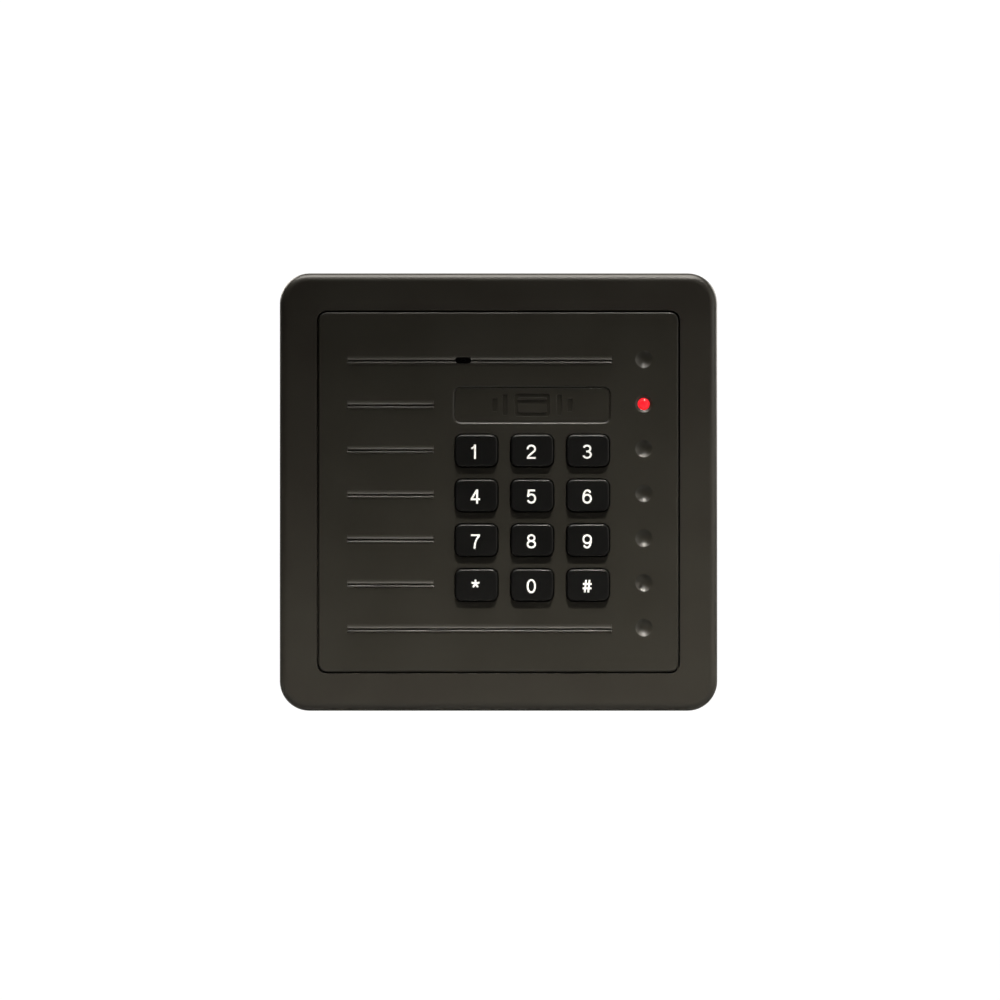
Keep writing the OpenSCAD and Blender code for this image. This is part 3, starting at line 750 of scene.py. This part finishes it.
@dataclass
class FacePanel:
    """The recessed panel with its grooves, dimples and key openings."""

    shop: Workshop
    node: str = "face_panel"
    thick: float = 2.4
    corner: float = 2.5
    edge: float = 0.45
    rows: tuple[float, ...] = (38.5, 25.54, 12.58, -0.38, -13.34, -26.3, -39.26)
    dimple_x: float = 42.1
    dimple: float = 2.5
    dimple_deep: float = 1.0
    groove_x: float = -43.8
    groove_long: float = 76.6
    groove_short: float = 25.0
    groove_drop: float = 0.75
    groove_wide: float = 1.0
    groove_deep: float = 0.9
    bead: float = 0.27
    bead_gap: float = 0.06
    lip_high: float = 1.4
    lip_proud: float = 0.3
    slot_x: float = -10.2
    slot: tuple[float, float] = (4.6, 1.9)
    slot_round: float = 0.94
    key_gap: float = 0.3
    lamp_hole: float = 1.75
    label_gap: float = 0.12
    label_deep: float = 1.1
    bed_roll: float = 0.4

    def build(self) -> None:
        """Models the panel from a block."""
        low, high = span(self.node)
        self.far = -low.y - self.lip_proud
        self.near = self.far - self.thick
        panel = Outline(high.x - low.x, high.z - low.z, self.corner).slab(
            "face_plate", self.near, self.far, 6
        )
        roll_front(panel, self.far, self.edge, 4)
        work(panel, Join.ADD, *[self.lip(i) for i in range(len(self.rows))])
        work(panel, Join.ADD, *self.posts())
        work(panel, Join.CUT, *[self.groove(i) for i in range(len(self.rows))])
        work(panel, Join.ADD, *[self.bead_bar(i) for i in range(len(self.rows))])
        work(panel, Join.CUT, *[self.bowl(z) for z in self.rows])
        work(panel, Join.CUT, *[self.key_hole(key) for key in KEYS])
        work(panel, Join.CUT, self.label_bed())
        back, front = self.near - 1, self.far + 1
        lamp = cylinder("lamp hole", self.lamp_hole, self.dimple_x, self.rows[1], back, front)
        work(panel, Join.CUT, lamp)
        slot_z = self.rows[0] - self.groove_drop / 2
        slot = Outline(*self.slot, self.slot_round, self.slot_x, slot_z)
        work(panel, Join.CUT, slot.slab("slot", back, front))
        work(panel, Join.CUT, *self.bores())
        self.ease_bed(panel)
        soften(panel, 0.14)
        self.shop.present(panel, "panel_plastic", stands_for=self.node)

    def length(self, row: int) -> float:
        """The length of a row's groove: the top and bottom ones are long."""
        return self.groove_long if row in (0, len(self.rows) - 1) else self.groove_short

    def lip(self, row: int) -> Piece:
        """The hollow ramp that swells out of the panel above a groove.

        Args:
            row: the row, counted from the top.

        Returns:
            A block scooped by a round bar that just touches the panel.
        """
        z = self.rows[row] - self.groove_drop + self.groove_wide / 2
        middle = self.groove_x + self.length(row) / 2
        low = Vector((self.groove_x, -self.far - self.lip_proud, z)) * MM
        high = Vector((self.groove_x + self.length(row), -self.far + 0.3, z + self.lip_high)) * MM
        ramp_block = block("lip", low, high)
        scoop_r = (self.lip_high**2 + self.lip_proud**2) / (2 * self.lip_proud)
        scoop = bar(
            "scoop", scoop_r, self.length(row) + 2, middle, self.far + scoop_r, z + self.lip_high, 120
        )
        work(ramp_block, Join.CUT, scoop)
        return ramp_block

    def groove(self, row: int) -> Piece:
        """The block that cuts one groove's slot."""
        z = self.rows[row] - self.groove_drop
        low = Vector((self.groove_x, -self.far - 1, z)) * MM
        far_x = self.groove_x + self.length(row)
        high = Vector((far_x, -self.far + self.groove_deep, z + self.groove_wide / 2)) * MM
        return block("groove", low, high)

    def bead_bar(self, row: int) -> Piece:
        """The round bar whose front half stands out along a groove's lower edge."""
        z = self.rows[row] - self.groove_drop - self.bead - self.bead_gap
        middle = self.groove_x + self.length(row) / 2
        return bar("bead", self.bead, self.length(row) - 2 * self.bead_gap, middle, self.far, z, 32)

    def bowl(self, z: float) -> Piece:
        """The ball that cuts a dimple at a height."""
        ball_r = (self.dimple**2 + self.dimple_deep**2) / (2 * self.dimple_deep)
        return ball("bowl", ball_r, self.dimple_x, self.far - self.dimple_deep + ball_r, z)

    def key_hole(self, key: KeyPlace) -> Piece:
        """The cutter for one key's opening."""
        return key.cap().grown(self.key_gap).slab("key hole", self.near - 1, self.far + 1, 5)

    def label_bed(self) -> Piece:
        """The cutter for the bed of the label plate."""
        bed = label_outline().grown(self.label_gap)
        return bed.slab("bed", self.far - self.label_deep, self.far + 1, 5)

    def ease_bed(self, panel: Piece) -> None:
        """Bevels the rim of the label's bed, so that its lower side takes the light."""
        shape = label_outline().grown(self.label_gap + TINY / MM)
        front = -self.far * MM

        def on_rim(end: Vector) -> bool:
            """Whether a point lies on the rim of the bed."""
            across = abs(end.x / MM - shape.x) <= shape.wide / 2
            along = abs(end.z / MM - shape.z) <= shape.high / 2
            return abs(end.y - front) < TINY and across and along

        pick_edges(panel, lambda a, b: on_rim(a) and on_rim(b))
        bpy.ops.mesh.bevel(offset=self.bed_roll * MM, segments=1, affect="EDGES")
        done()

    def posts(self) -> list[Piece]:
        """The posts behind the panel: four at its corners, four for the keypad board."""
        front = self.near + 0.3
        corner = [cylinder("post", 3.0, x, z, self.near - 2.05, front) for x, z in tab_points()]
        inner = [cylinder("post", 2.4, x, z, self.near - 3.35, front) for x, z in board_points()]
        return corner + inner

    def bores(self) -> list[Piece]:
        """The screw bores in the posts."""
        near, far = self.near, self.far
        corner = [cylinder("bore", 1.15, x, z, near - 3, far - 0.9, 24) for x, z in tab_points()]
        inner = [cylinder("bore", 1.05, x, z, near - 4.4, far - 1.4, 24) for x, z in board_points()]
        return corner + inner


def corner_points(
    node: str, inset_x: float, inset_z: float | None = None
) -> list[tuple[float, float]]:
    """Four points inside the corners of a CAD part.

    Args:
        node: the part.
        inset_x: how far in from its sides.
        inset_z: how far in from its ends, or the same.

    Returns:
        The points, in millimetres.
    """
    low, high = span(node)
    inset_z = inset_x if inset_z is None else inset_z
    return [
        (x, z)
        for x in (low.x + inset_x, high.x - inset_x)
        for z in (low.z + inset_z, high.z - inset_z)
    ]


def tab_points() -> list[tuple[float, float]]:
    """Where the screws through the case's tabs go."""
    return corner_points("front_frame", 18.4)


def board_points() -> list[tuple[float, float]]:
    """Where the screws of the keypad board go."""
    return corner_points("keypad_board", 3.0, 3.5)


# --------------------------------------------------------------- the keypad


Stroke = tuple[tuple[float, ...], ...]

# Each legend is a few strokes. A two-number step is a point; a six-number step
# is an arc: its centre, its two radii and its two ends in degrees. Sizes are
# millimetres from the middle of the figure.
LEGENDS: dict[str, tuple[Stroke, ...]] = {
    "1": (((-1.28, 0.98), (-0.48, 1.40), (-0.12, 2.15)), ((-0.15, 2.25), (-0.15, -2.25))),
    "2": (
        (
            (-1.18, 0.75),
            (0.0, 0.80, 1.16, 1.12, 175, -25),
            (-0.75, -1.25),
            (-1.12, -1.92),
        ),
        ((-1.40, -1.92), (1.35, -1.92)),
    ),
    "3": (
        ((-0.02, 0.99, 1.02, 0.93, 165, -90), (-0.3, 0.06)),
        ((-0.3, 0.10), (-0.02, -0.90, 1.18, 1.0, 90, -165)),
    ),
    "4": (
        ((0.50, -2.25), (0.50, 2.25)),
        ((0.40, 2.00), (-1.22, -0.78)),
        ((-1.48, -0.86), (1.40, -0.86)),
    ),
    "5": (
        ((1.15, 1.90), (-0.92, 1.90)),
        ((-0.74, 2.10), (-1.04, -0.10)),
        ((-1.08, 0.12), (0.0, -0.62, 1.20, 1.28, 132, -155)),
    ),
    "6": (
        ((0.0, -0.66, 1.18, 1.24, 0, 360),),
        ((1.05, 1.22), (0.05, 0.98, 0.95, 0.94, 20, 100), (0.05, -0.3, 1.23, 2.25, 105, 180)),
    ),
    "7": (
        ((-1.40, 1.90), (1.40, 1.90)),
        ((1.22, 1.92), (0.34, 0.62), (-0.16, -0.66), (-0.36, -2.25)),
    ),
    "8": (((0.0, 1.02, 1.00, 0.90, 0, 360),), ((0.0, -0.90, 1.18, 1.00, 0, 360),)),
    "9": (
        ((0.0, 0.66, 1.18, 1.24, 0, 360),),
        ((-1.05, -1.22), (-0.05, -0.98, 0.95, 0.94, 200, 280), (-0.05, 0.3, 1.23, 2.25, 285, 360)),
    ),
    "0": (((0.0, 0.0, 1.16, 1.92, 0, 360),),),
    "*": tuple(
        (
            (0.0, 0.0),
            (1.3 * math.cos(math.radians(90 + 72 * i)), 1.3 * math.sin(math.radians(90 + 72 * i))),
        )
        for i in range(5)
    ),
    "#": (
        ((-0.75, -1.95), (-0.35, 1.95)),
        ((0.35, -1.95), (0.75, 1.95)),
        ((-1.35, 0.68), (1.40, 0.68)),
        ((-1.40, -0.68), (1.35, -0.68)),
    ),
}


@dataclass(frozen=True)
class KeyPlace:
    """A key: its CAD name, the body it moves with and its legend."""

    node: str
    legend: str
    corner: float = 2.0
    flange: float = 0.95

    def cap(self) -> Outline:
        """The outline of the cap, from its CAD part without the stop flange."""
        low, high = span(self.node)
        return Outline(
            high.x - low.x - 2 * self.flange,
            high.z - low.z - 2 * self.flange,
            self.corner,
            (low.x + high.x) / 2,
            (low.z + high.z) / 2,
        )


KEYS: tuple[KeyPlace, ...] = tuple(KeyPlace(f"key_{n}", str(n)) for n in range(1, 10)) + (
    KeyPlace("key_star", "*"),
    KeyPlace("key_0", "0"),
    KeyPlace("key_hash", "#"),
)


@dataclass
class Keypad:
    """Twelve caps with a stop flange behind each, and their legends."""

    shop: Workshop
    flange_thick: float = 0.8
    roll: float = 0.55
    ink_wide: float = 0.60
    figure: float = 0.93
    ink_proud: float = 0.03
    legend_shift: tuple[float, float] = (-0.26, -0.32)
    star_lift: float = 0.75
    arc_step: float = 12.0

    def build(self) -> None:
        """Models one cap, copies it to each key and prints the legends."""
        first = self.model_cap(KEYS[0])
        start = KEYS[0].cap()
        ink = LEGEND.material()
        for key in KEYS:
            place = key.cap()
            deselect()
            first.select_set(True)
            bpy.context.view_layer.objects.active = first
            bpy.ops.object.duplicate(linked=False)
            bpy.ops.transform.translate(
                value=((place.x - start.x) * MM, 0, (place.z - start.z) * MM)
            )
            cap = settle(bpy.context.object, f"cap_{key.node}")
            self.shop.present(cap, "key_plastic", key.node, stands_for=key.node)
            legend = self.print_legend(key, ink)
            self.shop.present(legend, "key_plastic", key.node, material=ink)
        bpy.data.objects.remove(first)

    def model_cap(self, key: KeyPlace) -> Piece:
        """Models a cap: the flange, then the cap drawn out of it.

        Args:
            key: the key it is modelled at.

        Returns:
            The cap, with a rolled front edge.
        """
        low, high = span(key.node)
        near, front = -high.y, -low.y
        flange = key.cap().grown(key.flange)
        cap = flange.slab("cap", near, near + self.flange_thick, 6)
        face_at = -(near + self.flange_thick) * MM
        pick_faces(cap, lambda centre, normal: centre.y < face_at + TINY and normal.y < -0.9)
        bpy.ops.mesh.inset(thickness=key.flange * MM)
        bpy.ops.mesh.extrude_region_move(
            TRANSFORM_OT_translate={"value": (0, -front * MM - face_at, 0)}
        )
        done()
        roll_front(cap, front, self.roll, 5)
        smooth(cap, 40)
        return cap

    def print_legend(self, key: KeyPlace, ink: bpy.types.Material) -> Piece:
        """Draws a key's legend as flat strokes on the face of its cap.

        Args:
            key: the key.
            ink: the finish of the legend; not used here.

        Returns:
            The legend as one mesh.
        """
        place = key.cap()
        front = span(key.node)[0].y
        curve = bpy.data.curves.new(f"legend_{key.node}", "CURVE")
        curve.dimensions = "3D"
        curve.bevel_depth = self.ink_wide / 2 * MM
        curve.bevel_resolution = 3
        curve.use_fill_caps = True
        lift = self.star_lift if key.legend == "*" else 0.0
        for stroke in LEGENDS[key.legend]:
            points = self.trace(stroke)
            closed = (Vector(points[0]) - Vector(points[-1])).length < 0.01
            points = points[:-1] if closed else points
            line = curve.splines.new("POLY")
            line.points.add(len(points) - 1)
            line.use_cyclic_u = closed
            for point, (x, z) in zip(line.points, points):
                point.co = (x * MM, 0, (z + lift) * MM, 1)
        made = bpy.data.objects.new(curve.name, curve)
        bpy.context.scene.collection.objects.link(made)
        take(made)
        bpy.ops.object.convert(target="MESH")
        made = bpy.context.object
        made.scale = (self.figure, 2 * self.ink_proud / self.ink_wide, self.figure)
        aside, down = self.legend_shift
        made.location = Vector((place.x + aside, front, place.z + down)) * MM
        settle(made, f"legend_{key.node}")
        smooth(made, 60)
        return made

    def trace(self, stroke: Stroke) -> list[tuple[float, float]]:
        """Turns a stroke's points and arcs into points along it."""
        points: list[tuple[float, float]] = []
        for step in stroke:
            if len(step) == 2:
                points.append((step[0], step[1]))
                continue
            cx, cz, rx, rz, start, end = step
            count = max(2, round(abs(end - start) / self.arc_step))
            for i in range(count + 1):
                turn = math.radians(start + (end - start) * i / count)
                points.append((cx + rx * math.cos(turn), cz + rz * math.sin(turn)))
        return points


@dataclass
class KeyMat:
    """The silicone mat: a flat sheet, and under each key a hollow dome, modelled at rest; the real one gives
    with the key.
    """

    shop: Workshop
    node: str = "keypad_mat"
    sheet: float = 0.7
    corner: float = 2.0
    foot: float = 3.5
    crown: float = 2.5
    hollow_foot: float = 2.85
    hollow_crown: float = 1.9
    roof: float = 0.7
    travel: float = 1.0
    post_clear: float = 2.7
    gap: float = 0.02

    def build(self) -> None:
        """Models the sheet and the twelve domes."""
        low, high = span(self.node)
        near, far = -high.y, -low.y
        middle = (low + high) / 2
        outline = Outline(high.x - low.x, high.z - low.z, self.corner, middle.x, middle.z)
        sheet = outline.slab("mat_sheet", near, near + self.sheet)
        back, front = near - 1, near + self.sheet + 1
        places = [(key.cap().x, key.cap().z) for key in KEYS]
        holes = [cylinder("hole", self.foot + self.gap, x, z, back, front) for x, z in places]
        holes += [cylinder("hole", self.post_clear, x, z, back, front) for x, z in board_points()]
        work(sheet, Join.CUT, *holes)
        self.shop.present(sheet, "silicone", stands_for=self.node)
        for key, (x, z) in zip(KEYS, places):
            which = key.node.removeprefix("key_")
            dome = self.cone(f"mat_dome_{which}", self.foot, self.crown, x, z, near, far)
            hollow = self.cone(
                "hollow", self.hollow_foot, self.hollow_crown, x, z, near - self.gap, far - self.roof
            )
            work(dome, Join.CUT, hollow)
            smooth(dome)
            self.shop.present(dome, "silicone")
            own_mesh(dome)

    def cone(
        self, name: str, foot: float, crown: float, x: float, z: float, near: float, far: float
    ) -> Piece:
        """A plain cone standing out from the board at x and z, its foot at near and its crown at far."""
        deselect()
        bpy.ops.mesh.primitive_cone_add(
            vertices=48,
            radius1=foot * MM,
            radius2=crown * MM,
            depth=(far - near) * MM,
            location=Vector((x, -(near + far) / 2, z)) * MM,
            rotation=(math.radians(90), 0, 0),
        )
        return settle(bpy.context.object, name)


# --------------------------------------------------------------- label and lamp


def label_outline() -> Outline:
    """The outline of the label plate."""
    low, high = span("label_plate")
    return Outline(
        high.x - low.x, high.z - low.z, 1.7, (low.x + high.x) / 2, (low.z + high.z) / 2
    )


@dataclass
class Label:
    """The small plate above the keys, with a sunk card sign."""

    shop: Workshop
    node: str = "label_plate"
    edge: float = 0.08
    sunk: float = 0.4
    card: tuple[float, float] = (10.4, 6.6)
    line: float = 1.1
    stripe: tuple[float, float] = (0.9, 1.2)
    bar_first: float = 7.9
    bar_pitch: float = 3.0
    bar: tuple[float, float] = (1.5, 6.0)
    bar_less: float = 2.2

    def build(self) -> None:
        """Models the plate and sinks its sign."""
        low, high = span(self.node)
        far, near = -low.y, -high.y
        shape = label_outline()
        plate = shape.slab("sign_plate", near, far, 5)
        roll_front(plate, far, self.edge, 3)
        bed, top = far - self.sunk, far + 1
        wide, tall = self.card
        ring = Outline(wide, tall, 1.0, shape.x, shape.z).slab("card", bed, top, 4)
        inner = Outline(wide - 2 * self.line, tall - 2 * self.line, 0.5, shape.x, shape.z)
        work(ring, Join.CUT, inner.slab("card face", bed - 1, top + 1, 3))
        work(plate, Join.CUT, ring)
        up, thick = self.stripe
        stripe = Outline(wide - 1, thick, 0.1, shape.x, shape.z + up)
        work(plate, Join.CUT, stripe.slab("stripe", bed, top, 2))
        bars = []
        for side in (-1, 1):
            for k in range(2):
                x = shape.x + side * (self.bar_first + self.bar_pitch * k)
                tall_bar = self.bar[1] - self.bar_less * k
                bars.append(Outline(self.bar[0], tall_bar, 0.3, x, shape.z).slab("bar", bed, top, 3))
        work(plate, Join.CUT, *bars)
        soften(plate, 0.06)
        self.shop.present(plate, "panel_plastic", stands_for=self.node)


@dataclass
class Lamp:
    """The light guide whose tip stands in the second dimple."""

    shop: Workshop
    node: str = "led_lens"
    radius: float = 1.65
    flange_near: float = 22.1
    flange_far: float = 22.95
    dome: float = 0.9

    def build(self) -> None:
        """Models the guide from a rod, a flange and a domed tip."""
        low, high = span(self.node)
        x, z = (low.x + high.x) / 2, (low.z + high.z) / 2
        guide = cylinder("light_guide", self.radius, x, z, -high.y, -low.y)
        roll_front(guide, -low.y, self.dome, 7)
        flange = cylinder("flange", (high.x - low.x) / 2, x, z, self.flange_near, self.flange_far)
        work(guide, Join.ADD, flange)
        smooth(guide, 40)
        self.shop.present(guide, "lens_red", stands_for=self.node)


# --------------------------------------------------------------- CAD parts kept


@dataclass
class Inside:
    """The CAD parts that keep their own mesh and only get a finish."""

    shop: Workshop
    nodes: dict[str, Piece]

    def dress(self) -> None:
        """Gives each shown CAD part the finish of its slot."""
        for name, node in sorted(self.nodes.items()):
            slot = node.data.materials[0].name.split(".")[0]
            node.data.materials[0] = self.shop.finish(slot)
            log.info("%s keeps its CAD mesh, %s", name, slot)


# --------------------------------------------------------------- studio


@dataclass(frozen=True)
class SoftLight:
    """A rectangular soft light; places in metres, power in watts."""

    name: str
    place: tuple[float, float, float]
    aim: tuple[float, float, float]
    size: tuple[float, float]
    power: float
    spread: float = 180.0
    colour: str = "fffaf2"

    def hang(self) -> None:
        """Adds the light, unseen by the camera."""
        lamp = bpy.data.lights.new(self.name, "AREA")
        lamp.spread = math.radians(self.spread)
        lamp.shape = "RECTANGLE"
        lamp.size, lamp.size_y = self.size
        lamp.energy = self.power
        lamp.color = linear(self.colour)[:3]
        made = bpy.data.objects.new(self.name, lamp)
        made.location = self.place
        made.rotation_euler = (
            (Vector(self.aim) - Vector(self.place)).to_track_quat("-Z", "Y").to_euler()
        )
        made.visible_camera = False
        bpy.context.scene.collection.objects.link(made)


@dataclass
class Studio:
    """Pale floor, white surroundings, soft lights and the camera."""

    floor_z: float = -0.078
    floor_size: float = 8.0
    distance: float = 1.0
    frame: float = 0.2892
    aim_x: float = 0.00043
    aim_z: float = -0.0023
    ambient: float = 0.004
    lights: tuple[SoftLight, ...] = (
        SoftLight("top", (0.0, -0.07, 0.75), (0.0, -0.03, 0.0), (0.8, 0.35), 9.0),
        SoftLight("front", (0.12, -0.62, 0.95), (0.01, -0.025, -0.126), (0.6, 0.05), 0.5, 10.4),
        SoftLight("right", (0.70, -0.30, 0.10), (0.0, 0.0, 0.0), (0.5, 0.5), 1.2),
        SoftLight("back left", (-0.6, 0.8, 0.5), (0.0, 0.0, 0.0), (0.6, 0.6), 9.0),
        SoftLight("back right", (0.7, 0.7, 0.3), (0.0, 0.0, 0.0), (0.5, 0.5), 5.0),
    )

    def build(self, depth: float) -> None:
        """Sets up the whole studio.

        Args:
            depth: how far the object stands out from the wall, in metres.
        """
        self.lay_floor()
        self.light_world()
        for light in self.lights:
            light.hang()
        lens = bpy.data.cameras.new("camera")
        lens.sensor_width = 36.0
        lens.lens = lens.sensor_width * self.distance / self.frame
        lens.clip_start = 0.01
        camera = bpy.data.objects.new("camera", lens)
        camera.location = (self.aim_x, -depth - self.distance, self.aim_z)
        camera.rotation_euler = (math.radians(90), 0, 0)
        bpy.context.scene.collection.objects.link(camera)
        bpy.context.scene.camera = camera
        bpy.context.scene.view_settings.view_transform = "Standard"

    def lay_floor(self) -> None:
        """Lays a white floor that looks as bright as its surroundings."""
        deselect()
        bpy.ops.mesh.primitive_plane_add(size=self.floor_size, location=(0, 0, self.floor_z))
        floor = settle(bpy.context.object, "floor")
        sheet = bpy.data.materials.new("White vinyl floor")
        tree = blank(sheet)
        matt = add(tree, "ShaderNodeBsdfDiffuse", {"Color": linear("6e6e6c")})
        lit = add(tree, "ShaderNodeEmission", {"Color": (1, 1, 1, 1), "Strength": 1.1})
        seen = add(tree, "ShaderNodeLightPath").outputs["Is Camera Ray"]
        share = add(tree, "ShaderNodeMath", {0: seen, 1: 0.92}, operation="MULTIPLY")
        inputs = {0: share.outputs[0], 1: matt.outputs[0], 2: lit.outputs[0]}
        mix = add(tree, "ShaderNodeMixShader", inputs)
        add(tree, "ShaderNodeOutputMaterial", {"Surface": mix.outputs[0]})
        floor.data.materials.append(sheet)
        floor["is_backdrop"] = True

    def light_world(self) -> None:
        """White surroundings for the camera, dim ones for the object."""
        world = bpy.data.worlds.new("surroundings")
        bpy.context.scene.world = world
        tree = blank(world)
        dim = add(tree, "ShaderNodeBackground", {0: (1, 1, 1, 1), 1: self.ambient})
        white = add(tree, "ShaderNodeBackground", {0: (1, 1, 1, 1), 1: 1.05})
        seen = add(tree, "ShaderNodeLightPath").outputs["Is Camera Ray"]
        mix = add(tree, "ShaderNodeMixShader", {0: seen, 1: dim.outputs[0], 2: white.outputs[0]})
        add(tree, "ShaderNodeOutputWorld", {0: mix.outputs[0]})


def main() -> None:
    """Builds every piece round the frame, then the studio."""
    logging.basicConfig(level=logging.INFO, format="%(name)s: %(message)s")
    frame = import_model()
    cad_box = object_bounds()
    shop = Workshop()
    Inside(shop, frame["nodes"]).dress()
    Case(shop).build()
    FacePanel(shop).build()
    Label(shop).build()
    Lamp(shop).build()
    Keypad(shop).build()
    KeyMat(shop).build()
    Studio().build(-cad_box[0][1])
    deselect()


if __name__ == "__main__":
    main()
